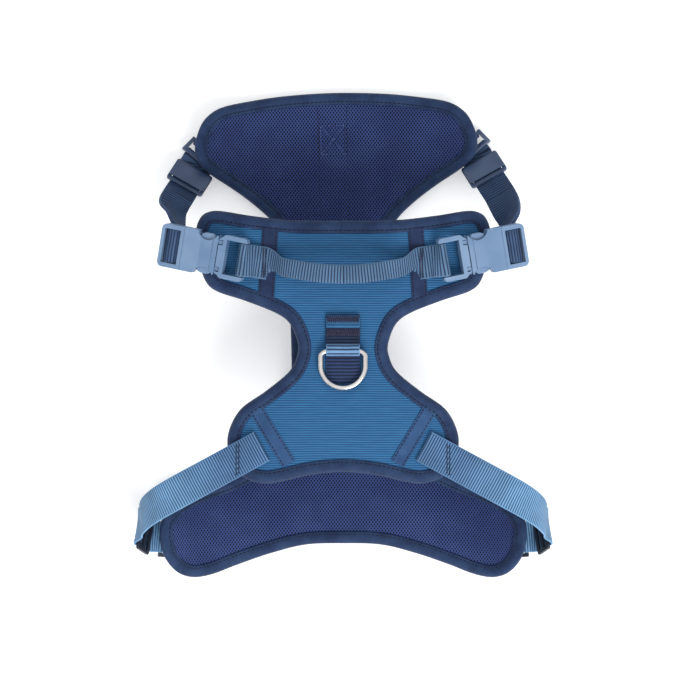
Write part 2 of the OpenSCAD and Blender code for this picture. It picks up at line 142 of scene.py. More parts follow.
def webbing(name, low, high, pitch=2.0, edge=12.1, bands=()):
    """Polyamide webbing: ribs across its width, fine yarns along each rib, a smooth selvedge."""
    g = G(name, Roughness=0.62, Sheen_Weight=0.06, Sheen_Roughness=0.4, Specular_IOR_Level=0.22)
    u, v = g.uv()
    wob = g.math("MULTIPLY_ADD", g.noise(60.0, 1.0), 0.9, 0.0)
    rib = g.wave(g.math("ADD", u, wob), pitch)
    yarn = g.wave(v, 0.85)
    side = g.ramp(g.math("ABSOLUTE", v), edge - 0.8, edge + 0.1)
    body = g.math("MULTIPLY_ADD", yarn, 0.16, g.math("POWER", rib, 0.75))
    height = g.math("MAXIMUM", body, g.math("MULTIPLY", side, 0.8))
    # Each band recolours a stretch along the webbing; the neck strap's band and the leash loop's dark band
    # are painted shade.
    for u0, u1, pair in bands[::-1]:
        f = g.ramp(u, u0, u1)
        low, high = g.mix(f, pair[0], low), g.mix(f, pair[1], high)
    # Rib valleys are painted toward the low colour, rib tops and selvedge toward the high colour: painted
    # shade in the valleys.
    tint = g.mix(g.ramp(height, 0.05, 0.95), low, high)
    patchy = g.ramp(g.noise(45.0, 3.0), 0.3, 0.7, 0.86, 1.1)
    shade = g.node("CombineColor", Red=patchy, Green=patchy, Blue=patchy).outputs[0]
    g.bump(height, 0.0004, 0.85)
    return g.color(g.mix(1.0, tint, shade, "MULTIPLY"))


def shell_fabric(name, low, high):
    """Ribbed shell cloth: fine cords running across the panel."""
    g = G(name, Roughness=0.7, Sheen_Weight=0.04, Sheen_Roughness=0.45, Specular_IOR_Level=0.2)
    u, v = g.uv()
    v = g.math("MULTIPLY_ADD", g.noise(26.0, 2.0), 1.1, v)
    cord = g.wave(v, 1.75)
    yarn = g.wave(g.math("MULTIPLY_ADD", cord, 0.35, u), 0.8)
    height = g.math("MULTIPLY_ADD", yarn, 0.22, g.math("POWER", cord, 0.6))
    along = g.math("MULTIPLY", u, 0.05)
    across = g.math("MULTIPLY", v, 0.57)
    drawn_out = g.node("CombineXYZ", X=along, Y=across).outputs[0]
    streak = g.node("TexNoise", Scale=1.0, Detail=3.0, Vector=drawn_out)
    # Cord valleys are painted toward the low colour, cord tops toward the high colour: painted shade in the
    # valleys; the drawn-out streaks vary the tone at random.
    amount = g.math("MULTIPLY", g.ramp(height, 0.1, 1.05), g.ramp(streak.outputs[0], 0.3, 0.7, 0.72, 1.0))
    g.bump(height, 0.00028, 0.8)
    return g.color(g.mix(amount, low, high))


def mesh_lining(name, cell_shade, yarn, lit):
    """Spacer mesh: open cells in staggered rows, painted near black as painted shade inside the cells."""
    g = G(name, Roughness=0.78, Sheen_Weight=0.05, Sheen_Roughness=0.5, Specular_IOR_Level=0.15)
    u, v = g.uv()
    u = g.math("MULTIPLY_ADD", g.noise(20.0, 1.0), 1.2, u)
    a = g.math("COSINE", g.math("MULTIPLY", u, 2 * math.pi / 2.55))
    b = g.math("COSINE", g.math("MULTIPLY", v, 2 * math.pi / 3.5))
    cell = g.math("MULTIPLY", a, b)
    # The open cells are painted near black: painted shade inside the cells.
    open_ = g.ramp(cell, 0.08, 0.42)
    knit = g.wave(v, 0.55)
    tone = g.mix(g.ramp(g.noise(35.0, 3.0), 0.35, 0.7), yarn, lit)
    g.bump(g.math("MULTIPLY_ADD", knit, 0.12, g.math("SUBTRACT", 1.0, open_)), 0.0007, 0.9)
    return g.color(g.mix(open_, tone, cell_shade))


def tape_fabric(name, low, high):
    """Smooth woven binding tape with a fine twill."""
    g = G(name, Roughness=0.66, Sheen_Weight=0.06, Sheen_Roughness=0.4, Specular_IOR_Level=0.2)
    u, v = g.uv()
    twill = g.wave(g.math("ADD", u, g.math("MULTIPLY", v, 0.7)), 0.75)
    cloud = g.ramp(g.noise(70.0, 4.0, 0.6), 0.3, 0.7)
    g.bump(g.math("MULTIPLY_ADD", cloud, 0.6, twill), 0.00012, 0.7)
    return g.color(g.mix(g.math("MULTIPLY_ADD", twill, 0.25, g.math("MULTIPLY", cloud, 0.75)), low, high))


def plastic(name, base, flow_and_highlight, rough=0.38):
    """Moulded acetal: faint flow variation, satin grain, convex edges painted a little lighter as a painted
    highlight.
    """
    g = G(name, Roughness=rough, Specular_IOR_Level=0.5, Coat_Weight=0.15, Coat_Roughness=0.25)
    flow = g.ramp(g.noise(38.0, 3.0), 0.3, 0.7)
    grain = g.noise(2600.0, 2.0)
    # Convex edges, found by pointiness, are painted toward the lighter colour: a painted highlight.
    edge = g.ramp(g.node("NewGeometry").outputs["Pointiness"], 0.5, 0.6)
    g.bump(grain, 0.00006, 0.35)
    g.put(g.b.inputs["Roughness"], g.ramp(flow, 0.0, 1.0, rough - 0.05, rough + 0.09))
    tone = g.mix(g.math("MULTIPLY", flow, 0.35), base, flow_and_highlight)
    return g.color(g.mix(g.math("MULTIPLY", edge, 0.5), tone, flow_and_highlight))


def metal(name, base, dark_reflection):
    g = G(name, Metallic=1.0, Roughness=0.16)
    # One noise mask varies the roughness and paints patches of the nickel darker: painted dark reflections.
    haze_and_reflection = g.ramp(g.noise(160.0, 4.0, 0.6), 0.35, 0.75)
    g.put(g.b.inputs["Roughness"], g.ramp(haze_and_reflection, 0.0, 1.0, 0.12, 0.26))
    g.bump(g.noise(900.0, 2.0), 0.00004, 0.25)
    return g.color(g.mix(g.math("MULTIPLY", haze_and_reflection, 0.4), base, dark_reflection))


def thread(name, low, high):
    g = G(name, Roughness=0.5, Sheen_Weight=0.05, Specular_IOR_Level=0.25)
    twist = g.ramp(g.noise(1500.0, 2.0), 0.35, 0.65)
    g.bump(twist, 0.00008, 0.5)
    return g.color(g.mix(twist, low, high))


# Shell cloth colours: the low colour is the painted shade of the cord valleys, the high colour is the cord
# tops.
SHELL = rgb(28, 66, 108), rgb(52, 112, 160)
M = {
    "shell": shell_fabric("shell_blue", *SHELL),
    # Lining mesh: the first colour is the painted shade in the open cells.
    "mesh": mesh_lining("lining_mesh", rgb(6, 9, 24), rgb(50, 66, 118), rgb(58, 76, 130)),
    "bind": tape_fabric("binding_navy", rgb(26, 43, 76), rgb(44, 66, 102)),
    "tape": tape_fabric("tape_navy", rgb(28, 42, 74), rgb(46, 62, 98)),
    "tape2": tape_fabric("tape_blue", rgb(40, 68, 108), rgb(58, 92, 136)),
    # Neck webbing: its first stretch from the back panel is painted darker, fading out by 90 mm along:
    # painted shade.
    "neck": webbing("webbing_light", rgb(42, 72, 112), rgb(120, 166, 206),
                    bands=[(20.0, 90.0, (rgb(26, 44, 78), rgb(88, 126, 168)))]),
    "handle": webbing("webbing_handle", rgb(26, 42, 70), rgb(88, 120, 154), 2.2),
    "girth": webbing("webbing_slate", rgb(24, 38, 64), rgb(64, 88, 124), 2.1),
    "dark": webbing("webbing_dark", rgb(12, 20, 42), rgb(40, 60, 100), 2.6),
    # Leash loop webbing: the first stretch takes the shell's colours, and the flat stretch to the ring's bar
    # is painted dark navy as painted shade.
    "leash": webbing("webbing_leash", rgb(22, 40, 74), rgb(118, 158, 200), 2.9,
                     bands=[(8.5, 10.5, SHELL), (22.0, 24.5, (rgb(14, 22, 42), rgb(40, 56, 86)))]),
    # Plastics: the second colour is the lighter tone for the random flow and for the painted highlight on
    # edges.
    "buckle": plastic("buckle_blue", rgb(96, 126, 162), rgb(138, 164, 194)),
    "slate": plastic("hardware_slate", rgb(42, 60, 94), rgb(98, 120, 152), 0.36),
    # Neck glides and loops: a darker copy of the slate plastic, painted shade on the same hardware.
    "slate_shaded": plastic("hardware_slate_shaded", rgb(20, 25, 38), rgb(44, 52, 70), 0.4),
    # Ring nickel: the second colour is the painted dark reflection.
    "ring": metal("ring_nickel", (0.84, 0.81, 0.79, 1), (0.36, 0.34, 0.34, 1)),
    "thread": thread("thread_navy", rgb(8, 14, 34), rgb(20, 30, 58)),
    "tack": thread("thread_tack", rgb(12, 16, 34), rgb(56, 54, 84)),
    "pale": thread("thread_pale", rgb(44, 58, 108), rgb(84, 104, 160)),
}


# ---- Mesh helpers ----
def make(name, verts, faces, mats, uvs=None, face_mat=None, smooth=True):
    """A mesh object from points in the drawing frame; uvs are one (u, v) in mm per vertex."""
    me = bpy.data.meshes.new(name)
    me.from_pydata([tuple(p) for p in P(verts)], [], [tuple(int(i) for i in f) for f in faces])
    for m in mats if isinstance(mats, (list, tuple)) else [mats]:
        me.materials.append(M[m])
    if face_mat is not None:
        me.polygons.foreach_set("material_index", np.asarray(face_mat, np.int32))
    layer = me.uv_layers.new(name="mm")
    if uvs is not None:
        idx = np.empty(len(me.loops), np.int32)
        me.loops.foreach_get("vertex_index", idx)
        layer.data.foreach_set("uv", np.asarray(uvs, np.float32)[idx].ravel())
    me.polygons.foreach_set("use_smooth", [smooth] * len(me.polygons))
    me.update()
    o = bpy.data.objects.new(name, me)
    scene.collection.objects.link(o)
    return o


def dress(o, body, slot, *nodes):
    if nodes:
        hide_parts(*nodes)
    if body:
        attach(o, body)
    return o


def spline(rows, step):
    """Rows of numbers through a Catmull-Rom curve, about step apart by the first three."""
    rows = [np.asarray(r, float) for r in rows]
    out = []
    for i in range(len(rows) - 1):
        a, b, c, d = rows[max(i - 1, 0)], rows[i], rows[i + 1], rows[min(i + 2, len(rows) - 1)]
        n = max(1, int(math.ceil(np.linalg.norm((c - b)[:3]) / step)))
        for k in range(n):
            t = k / n
            out.append(0.5 * (2 * b + (c - a) * t + (2 * a - 5 * b + 4 * c - d) * t * t
                              + (3 * b - a - 3 * c + d) * t ** 3))
    out.append(rows[-1])
    return np.array(out)


PROFILE = [(-1, -.2), (-.99, -.42), (-.965, -.5), (-.5, -.5), (0, -.5), (.5, -.5), (.965, -.5),
           (.99, -.42), (1, -.2), (1, .2), (.99, .42), (.965, .5), (.5, .5), (0, .5), (-.5, .5),
           (-.965, .5), (-.99, .42), (-1, .2)]


def sweep(name, stations, mat, step=1.5, uv0=0.0, flip=1):
    """Webbing along stations of point, across, width and thickness."""
    st = spline([np.concatenate([s[0], s[1], [s[2], s[3]]]) for s in stations], step)
    pts, n, k = st[:, :3], len(st), len(PROFILE)
    length = np.concatenate([[0], np.cumsum(np.linalg.norm(np.diff(pts, axis=0), axis=1))]) + uv0
    verts, uvs = [], []
    for i in range(n):
        t = unit(pts[min(i + 1, n - 1)] - pts[max(i - 1, 0)])
        w = st[i, 3:6] - np.dot(st[i, 3:6], t) * t
        w = unit(w)
        m = np.cross(t, w)
        for a, b in PROFILE:
            verts.append(pts[i] + w * a * st[i, 6] / 2 + m * b * st[i, 7])
            uvs.append((length[i], a * 12.5))
    faces = [(i * k + j, i * k + (j + 1) % k, (i + 1) * k + (j + 1) % k, (i + 1) * k + j)
             for i in range(n - 1) for j in range(k)]
    faces += [tuple(range(k))[::-1], tuple((n - 1) * k + j for j in range(k))]
    if flip < 0:
        faces = [f[::-1] for f in faces]
    return make(name, verts, faces, mat, uvs)


def resample(pts, step, closed=False):
    pts = np.asarray(pts, float)
    if closed:
        pts = np.vstack([pts, pts[:1]])
    d = np.concatenate([[0], np.cumsum(np.linalg.norm(np.diff(pts, axis=0), axis=1))])
    n = max(2, int(round(d[-1] / step)))
    s = np.linspace(0, d[-1], n + 1)
    out = np.stack([np.interp(s, d, pts[:, i]) for i in range(pts.shape[1])], 1)
    return out[:-1] if closed else out


GRAIN = [(-.5, .25), (-.34, .85), (0, 1.0), (.34, .85), (.5, .25)]


def stitches(name, runs, mat="thread", pitch=3.1, length=2.3, wide=0.75, proud=0.2):
    """Thread grains along runs of points with normals (six numbers each)."""
    verts, faces, uvs = [], [], []
    for run in runs:
        q = resample(run, pitch)
        for i in range(len(q) - 1):
            c, t = (q[i, :3] + q[i + 1, :3]) / 2, unit(q[i + 1, :3] - q[i, :3])
            nrm = unit(q[i, 3:] + q[i + 1, 3:])
            s, base = np.cross(t, nrm), len(verts)
            for a, r in GRAIN:
                for j in range(6):
                    h = math.pi * j / 3
                    verts.append(c + t * a * length + s * math.cos(h) * r * wide / 2
                                 + nrm * (proud * 0.3 + math.sin(h) * r * wide * 0.42))
                    uvs.append((a, j))
            for r in range(4):
                low, high = base + 6 * r, base + 6 * r + 6
                faces += [(low + j, low + (j + 1) % 6, high + (j + 1) % 6, high + j) for j in range(6)]
            faces += [tuple(base + j for j in range(6))[::-1], tuple(base + 24 + j for j in range(6))]
    return make(name, verts, faces, mat, uvs)


def smooth01(t):
    t = np.clip(t, 0, 1)
    return t * t * (3 - 2 * t)


# ---- The panels' surfaces: height at (x, y) of the layer t above the underside ----
def z_back(x, y, t):
    r = 220 + t
    s = np.clip((np.abs(x) - 35) / r, 0, 0.95)
    return 80.5 - 220 + r * np.sqrt(1 - s * s)


ARCH_Q = 2 * math.atan(7.5 / 30)
ARCH_R = 15 / math.sin(ARCH_Q)


def z_low(x, y, t):
    x, y, t = np.broadcast_arrays(np.asarray(x, float), np.asarray(y, float), np.asarray(t, float))
    s = np.clip((np.abs(x) - 57) / (128 - t), 0, 0.95)
    chest = 128 - (128 - t) * np.sqrt(1 - s * s)
    s = np.clip((np.abs(x + 6) - 52) / (100 - t), 0, 0.95)
    belly = 100 - (100 - t) * np.sqrt(1 - s * s)
    u = np.clip(np.where(y < 7, y + 78, 92 - y), 0, 30)
    first = ARCH_R - np.sqrt(np.maximum((ARCH_R - t) ** 2 - u ** 2, 0))
    second = 7.5 - ARCH_R + np.sqrt(np.maximum((ARCH_R + t) ** 2 - (30 - u) ** 2, 0))
    strip = np.where(u < (ARCH_R - t) * math.sin(ARCH_Q), first, second)
    return 1.4 + np.where(y < -78, chest, np.where(y > 92, belly, strip))


def spread_u(x, x0, r, c=0.0):
    """Distance along the curled cloth from the middle."""
    a = np.maximum(np.abs(x - c) - x0, 0)
    return np.sign(x - c) * (np.minimum(np.abs(x - c), x0) + r * np.arcsin(np.clip(a / r, 0, 0.95)))


def leaned(p):
    p = np.asarray(p, float)
    a = np.radians(1.6) * smooth01((p[..., 1] + 90) / 80)
    x = p[..., 0] * np.where(p[..., 0] > 0, 1 + 0.05 * smooth01((p[..., 1] - 100) / 50), 1)
    y = p[..., 1] + 140
    return np.stack([x * np.cos(a) - y * np.sin(a), -140 + x * np.sin(a) + y * np.cos(a)], -1)


def outline(half, lean=False):
    p = np.array(half + [(-x, y) for x, y in half[-2:0:-1]], float)
    if lean:
        p = leaned(p)
    out = []
    for i in range(len(p)):
        a, b, c, d = (p[(i + k) % len(p)] for k in (-1, 0, 1, 2))
        for k in range(8):
            t = k / 8
            out.append(0.5 * (2 * b + (c - a) * t + (2 * a - 5 * b + 4 * c - d) * t * t
                              + (3 * b - a - 3 * c + d) * t ** 3))
    return resample(out, 2.6, True)


BACK = outline([(0, 98), (40, 98.5), (70, 102), (93, 106), (103, 105.5), (109.5, 101), (113, 90),
                (111, 72), (106, 54), (97, 45), (75, 37.5), (51, 28), (40, 19.5), (34.3, 5), (35, -5),
                (41, -16.5), (58.5, -31), (77.5, -44.5), (86.5, -60), (88, -74), (83, -89), (73, -98),
                (59, -101.3), (45, -99.3), (25, -94.8), (0, -92.5)])
LOW = outline([(0, 207.5), (40, 205.8), (68, 202), (88, 197), (99, 189.5), (105.5, 179.5),
               (109.5, 164), (107, 152), (98.5, 143), (80, 130.5), (64, 118), (50, 104), (42, 88),
               (38.5, 65), (38, 30), (38, -10), (40, -35), (46, -60), (56, -78), (72, -93), (92, -103.5),
               (117, -112.5), (134, -122.5), (143, -135), (143.7, -150), (140, -164), (131, -176),
               (119, -181), (104, -179.3), (86, -173), (57, -163.5), (30, -157), (0, -156)], True)


def rings(out, depths):
    """The outline moved inwards to each depth, point for point."""
    p, at, res = out.copy(), 0.0, []
    for d in depths:
        n = max(1, int(round((d - at) / 0.4)))
        for _ in range(n):
            t = np.roll(p, -1, 0) - np.roll(p, 1, 0)
            t /= np.linalg.norm(t, axis=1)[:, None]
            p = p + np.stack([t[:, 1], -t[:, 0]], 1) * (d - at) / n
            lap = (np.roll(p, -1, 0) + np.roll(p, 1, 0)) / 2 - p
            p = p + 0.5 * (lap * t).sum(1)[:, None] * t
        at = d
        res.append(p.copy())
    return res


# ---- Edge binding: a folded tape round each panel, with its stitch row ----
BIND = [(10.0, 7.2), (9.9, 8.0), (9.4, 8.45), (8.2, 8.35), (7.6, 8.3), (6.4, 8.75), (4.6, 8.8), (3.0, 8.45),
        (1.7, 7.7), (0.75, 6.5), (0.2, 5.0), (0.02, 3.75), (0.2, 2.5), (0.75, 1.0), (1.7, -0.2), (3.0, -0.85),
        (4.6, -1.2), (6.4, -1.2), (7.6, -0.85), (8.2, -0.9), (9.4, -0.95), (9.9, -0.5), (10.0, 0.3)]


def binding(name, out, zf, node):
    depths = sorted({d for d, _ in BIND})
    ring = dict(zip(depths, rings(out, depths)))
    n, k = len(out), len(BIND)
    run = np.concatenate([[0], np.cumsum(np.linalg.norm(np.diff(np.vstack([out, out[:1]]), axis=0), axis=1))])
    verts, uvs, v = [], [], 0.0
    for j, (d, t) in enumerate(BIND):
        v += 0 if j == 0 else math.dist(BIND[j], BIND[j - 1])
        p = ring[d]
        ripple = np.array([noise.noise(Vector((x * 0.11, y * 0.11, 3.0))) for x, y in p])
        amp = 0.3 if 1 < d < 8 else 0.1
        z = zf(p[:, 0], p[:, 1], t + ripple * amp * (1 if t > 3 else -1))
        verts += [(x, y, h) for (x, y), h in zip(p, z)]
        uvs += [(run[i], v) for i in range(n)]
    faces = [(j * n + i, j * n + (i + 1) % n, (j + 1) * n + (i + 1) % n, (j + 1) * n + i)
             for j in range(k - 1) for i in range(n)]
    # close the folded tape on its inside
    faces += [((k - 1) * n + i, (k - 1) * n + (i + 1) % n, (i + 1) % n, i) for i in range(n)]
    o = make(name, verts, [f[::-1] for f in faces], "bind", uvs)
    dress(o, "harness", "binding_navy", node)
    q = rings(out, [7.8])[0]
    q = np.vstack([q, q[:1]])
    for side, t, s in (("top", 8.35, 1), ("under", -0.9, -1)):
        z = zf(q[:, 0], q[:, 1], t)
        row = np.column_stack([q, z, np.zeros((len(q), 2)), np.full(len(q), s)])
        dress(stitches(f"{name}_stitch_{side}", [row], "thread", 3.5, 2.6, 0.95), "harness", "binding_navy")
    return o


# ---- Padded panels ----
def pad(name, out, zf, uvf, mats, nodes, slot, top_t, low_t, pins, step=4.6, cap=1.5):
    edge, mid, seam = rings(out, [1.5, 6.0, 10.6])
    rows = [resample(edge, 3.0, True), resample(mid, 3.6, True), resample(seam, 3.6, True)]
    dense = resample(out, 1.0, True)
    lo, hi = out.min(0), out.max(0)
    gx, gy = np.arange(lo[0], hi[0], step), np.arange(lo[1], hi[1], step * 0.866)
    grid = np.array([(x + (step / 2 if j % 2 else 0), y) for j, y in enumerate(gy) for x in gx])
    first = rows[0]
    pts = np.vstack(rows + [grid])
    dist = np.sqrt(((pts[:, None, :] - dense[None]) ** 2).sum(2)).min(1)
    n0 = sum(len(r) for r in rows)
    keep = np.concatenate([np.arange(n0), n0 + np.nonzero(dist[n0:] > 13.2)[0]])
    pts = pts[keep]
    res = delaunay_2d_cdt([Vector(p) for p in pts], [], [list(range(len(first)))], 1, 1e-5)
    xy = np.array([tuple(v) for v in res[0]])
    tris = [tuple(f) for f in res[2]]
    m = len(xy)
    d = np.sqrt(((xy[:, None, :] - dense[None]) ** 2).sum(2)).min(1)
    wob = np.array([noise.noise(Vector((x * 0.018, y * 0.026, 1.7))) * 0.5
                    + noise.noise(Vector((x * 0.06, y * 0.05, 7.3))) * 0.22 for x, y in xy])
    inner = smooth01((d - 10) / 14)
    held = pins(xy[:, 0], xy[:, 1])
    tt = np.interp(d, [1.5, 3, 6, 9.5, 10.6, 13.5, 20, 34], top_t) + wob * inner * (1 - held)
    tt = tt * (1 - held) + (7.35 * held)
    tb = np.interp(d, [1.5, 3, 6, 9.5, 10.6, 13.5, 20, 34], low_t) - 0.3 * wob * inner
    verts = np.vstack([np.column_stack([xy, zf(xy[:, 0], xy[:, 1], tt)]),
                       np.column_stack([xy, zf(xy[:, 0], xy[:, 1], tb)])])
    count = {}
    for f in tris:
        for a, b in zip(f, f[1:] + f[:1]):
            count[(a, b)] = 1
    rim = [(a, b) for a, b in count if (b, a) not in count]
    ccw = np.mean([np.cross(xy[f[1]] - xy[f[0]], xy[f[2]] - xy[f[0]]) for f in tris]) > 0
    up = [f if ccw else f[::-1] for f in tris]
    faces = up + [tuple(i + m for i in f[::-1]) for f in up]
    faces += [(a, a + m, b + m, b) if ccw else (b, b + m, a + m, a) for a, b in rim]
    o = make(name, verts, faces, mats)
    group = o.vertex_groups.new(name="sewn")
    fixed = (d < 10.9) | (held > 0.4)
    for i in range(2 * m):
        group.add([i], 1.0 if fixed[i % m] else 0.0, "REPLACE")
    c = o.modifiers.new("Cloth", "CLOTH")
    c.settings.use_pressure = True
    c.settings.uniform_pressure_force = 4.0
    c.settings.quality = 5
    c.settings.mass = 0.3
    c.settings.vertex_group_mass = "sewn"
    c.settings.tension_stiffness = c.settings.compression_stiffness = 15
    c.settings.bending_stiffness = 2.0
    c.settings.effector_weights.gravity = 0
    c.point_cache.frame_start, c.point_cache.frame_end = 1, 20
    for f in range(1, 21):
        scene.frame_set(f)
    dg = bpy.context.evaluated_depsgraph_get()
    ev = o.evaluated_get(dg).to_mesh()
    co = np.array([v.co for v in ev.vertices]).reshape(-1, 3)
    o.evaluated_get(dg).to_mesh_clear()
    o.modifiers.remove(c)
    scene.frame_set(1)
    rest = P(verts)
    move = co - rest
    size = np.linalg.norm(move, axis=1, keepdims=True)
    limit = np.where(np.arange(2 * m) < m, cap, cap * 0.4)[:, None] * 0.001
    move *= np.minimum(1, limit / np.maximum(size, 1e-9))
    o.data.vertices.foreach_set("co", (rest + move).ravel())
    o.data.update()
    o.vertex_groups.clear()
    sub = o.modifiers.new("smooth", "SUBSURF")
    sub.levels = sub.render_levels = 1
    dg = bpy.context.evaluated_depsgraph_get()
    me = bpy.data.meshes.new_from_object(o.evaluated_get(dg))
    o.modifiers.clear()
    o.data = me
    co = np.empty(len(me.vertices) * 3)
    me.vertices.foreach_get("co", co)
    co = co.reshape(-1, 3) * 1000
    x, y = co[:, 0], co[:, 1] + 13.25
    tmid = zf(x, y, np.full(len(x), 3.75))
    lowside = co[:, 2] < tmid
    uvs = uvf(x, y)
    layer = me.uv_layers.get("mm") or me.uv_layers.new(name="mm")
    idx = np.empty(len(me.loops), np.int32)
    me.loops.foreach_get("vertex_index", idx)
    layer.data.foreach_set("uv", uvs[idx].astype(np.float32).ravel())
    start, total = np.empty(len(me.polygons), np.int32), np.empty(len(me.polygons), np.int32)
    me.polygons.foreach_get("loop_start", start)
    me.polygons.foreach_get("loop_total", total)
    under = np.add.reduceat(lowside[idx].astype(float), start) / total > 0.5
    me.polygons.foreach_set("material_index", under.astype(np.int32))
    me.polygons.foreach_set("use_smooth", [True] * len(me.polygons))
    me.update()
    dress(o, "harness", slot, *nodes)
    return o


def strip_mask(x, y, x0, y0, x1, y1, half, soft=3.0):
    """1 along the line between two points, falling to 0 past its half width."""
    dx, dy = x1 - x0, y1 - y0
    t = np.clip(((x - x0) * dx + (y - y0) * dy) / (dx * dx + dy * dy), 0, 1)
    return 1 - smooth01((np.hypot(x - x0 - t * dx, y - y0 - t * dy) - half) / soft)


def back_pins(x, y):
    a = np.abs(x)
    m = np.maximum(strip_mask(a, y, 54.8, 104, 58.5, 25, 6), strip_mask(a, y, 70, -38, 36, -94, 5.5))
    m = np.maximum(m, strip_mask(x, y, 0, -20, 0, 24, 13, 4))
    return np.maximum(m, strip_mask(a, y, 57, 66, 80, 66, 14, 3))


def low_pins(x, y):
    q = np.radians(-1.6)
    lx = x * math.cos(q) - (y + 140) * math.sin(q)
    line = np.where(y > 40, 1 - smooth01((np.abs(np.abs(lx) - 11.3) - 0.5) / 4.5), 0)
    box = strip_mask(lx, y, 0, 160, 0, 178, 8, 4)
    return np.maximum(np.maximum(line * 0.85, box), 1 - smooth01((np.abs(y - 7) - 60) / 30))


pad("back_pad", BACK, z_back, lambda x, y: np.column_stack([spread_u(x, 35, 227), y]), ["shell", "mesh"],
    ["back_shell", "back_foam", "back_lining"], "shell_blue",
    [5.4, 6.8, 7.2, 7.25, 7.05, 7.6, 8.0, 8.3], [2.1, .8, .3, .25, .4, 0, -.3, -.6], back_pins, cap=0.9)
pad("chest_pad", LOW, z_low,
    lambda x, y: np.column_stack([spread_u(x, 55, 112, np.where(y > 40, -6.0, 0.0)), y]),
    ["mesh", "shell"], ["chest_shell", "chest_foam", "chest_lining"], "lining_mesh",
    [5.4, 6.8, 7.2, 7.25, 7.0, 8.0, 8.9, 9.6], [2.1, .8, .3, .25, .4, .2, .1, 0.1], low_pins, cap=2.0)
binding("back_edge", BACK, z_back, "back_binding")
binding("chest_edge", LOW, z_low, "chest_binding")


# ---- Tapes over the back panel's seams ----
def on_surface(zf, line, t, width, mat, name, slot, node=None, pin=True, thick=0.9, u0=0.0):
    q = resample(line, 2.0)
    st = []
    for i in range(len(q)):
        a = unit(q[min(i + 1, len(q) - 1)] - q[max(i - 1, 0)])
        across = np.array([a[1], -a[0]]) * width / 2
        z = [float(zf(*(q[i] + s * across), t)) for s in (-1, 0, 1)]
        side = np.array([across[0] * 2, across[1] * 2, z[2] - z[0]])
        st.append(((q[i][0], q[i][1], z[1]), side, width, thick))
    o = sweep(name, st, mat, 2.0, u0)
    return dress(o, "harness", slot, *([node] if node else []))


def seam_row(zf, line, t):
    q = resample(line, 2.0)
    z = zf(q[:, 0], q[:, 1], t)
    e = 0.5
    nx = -(zf(q[:, 0] + e, q[:, 1], t) - zf(q[:, 0] - e, q[:, 1], t)) / (2 * e)
    ny = -(zf(q[:, 0], q[:, 1] + e, t) - zf(q[:, 0], q[:, 1] - e, t)) / (2 * e)
    return np.column_stack([q, z, nx, ny, np.ones(len(q))])


def side_line(a, b, off):
    a, b = np.array(a, float), np.array(b, float)
    t = unit(b - a)
    o = np.array([t[1], -t[0]]) * off
    return [a + o, b + o]


for s, n in ((-1, "l"), (1, "r")):
    a, b = (s * 54.85, 93.5), (s * 58.3, 36.5)
    on_surface(z_back, [a, b], 7.95, 12, "tape", f"rear_tape_{n}_cloth", "tape_navy", f"rear_tape_{n}")
    dress(stitches(f"rear_tape_{n}_stitch", [seam_row(z_back, side_line(a, b, o), 8.4) for o in (-4.6, 4.6)]),
          "harness", "tape_navy")
    a, b = (s * 66.5, -43.7), (s * 41, -85.7)
    on_surface(z_back, [a, b], 7.95, 11, "tape2", f"neck_tape_{n}_cloth", "tape_navy", f"neck_tape_{n}")
    dress(stitches(f"neck_tape_{n}_stitch", [seam_row(z_back, side_line(a, b, o), 8.4) for o in (-4.2, 4.2)]),
          "harness", "tape_navy")

# ---- Belly band: stitch lines and box on the mesh ----
band = [seam_row(z_low, leaned([(s * 11.3, 196), (s * 11.3, 110), (s * 11.3, 70)]), 7.95) for s in (-1, 1)]
dress(stitches("chest_band_stitch", band, "thread", 3.4), "harness", "lining_mesh")
corner = [(-9.5, 157.5), (9.5, 157.5), (9.5, 180.5), (-9.5, 180.5), (-9.5, 157.5), (9.5, 180.5),
          (9.5, 157.5), (-9.5, 180.5)]
box = [seam_row(z_low, leaned([corner[i], corner[i + 1]]), 7.95) for i in range(7)]
dress(stitches("chest_box_stitch", box, "pale", 2.6, 2.2, 0.9), "harness", "lining_mesh")
on_surface(z_low, leaned([(0, y) for y in range(-146, 198, 6)]), -0.7, 25, "girth", "chest_web",
           "webbing_slate", "chest_webbing", thick=1.3)


# ---- Leash patch, leash loop and front loop ----
patch = [((0, y, 88.75), (1, 0, 0), 26, 1.3) for y in (26, 12, 0, -12, -25)]
o = sweep("leash_patch_cloth", patch, ["dark"], 1.5)
dress(o, "harness", "tape_navy", "leash_patch")


def fold_path(c, up):
    """Webbing round a ring's bar, from the sewn end over the bar and back under it."""
    r = 2.2 + 0.7
    st = [((c[0], c[1] + y, c[2] + up * z), (1, 0, 0), 25.2, 1.35) for y, z in
          ((27, -2.9), (20, -2.9), (13, -2.85), (9.6, -1.9), (6.5, 0.0))]
    for q in range(50, 331, 14):
        a = math.radians(q)
        st.append(((c[0], c[1] + r * math.cos(a), c[2] + up * r * math.sin(a)), (1, 0, 0), 25.2, 1.35))
    for y, z in ((3.3, -2.6), (4.4, -2.9)):
        st.append(((c[0], c[1] + y, c[2] + up * z), (1, 0, 0), 25.2, 1.35))
    return st


o = sweep("leash_loop_web", fold_path((0, -1, 93.0), 1), "leash", 1.0)
dress(o, "harness", "webbing_light", "leash_loop")
o = sweep("front_loop_web", fold_path((-0.6, -24, 3.9), -1), "girth", 1.0)
dress(o, "harness", "webbing_slate", "front_loop")


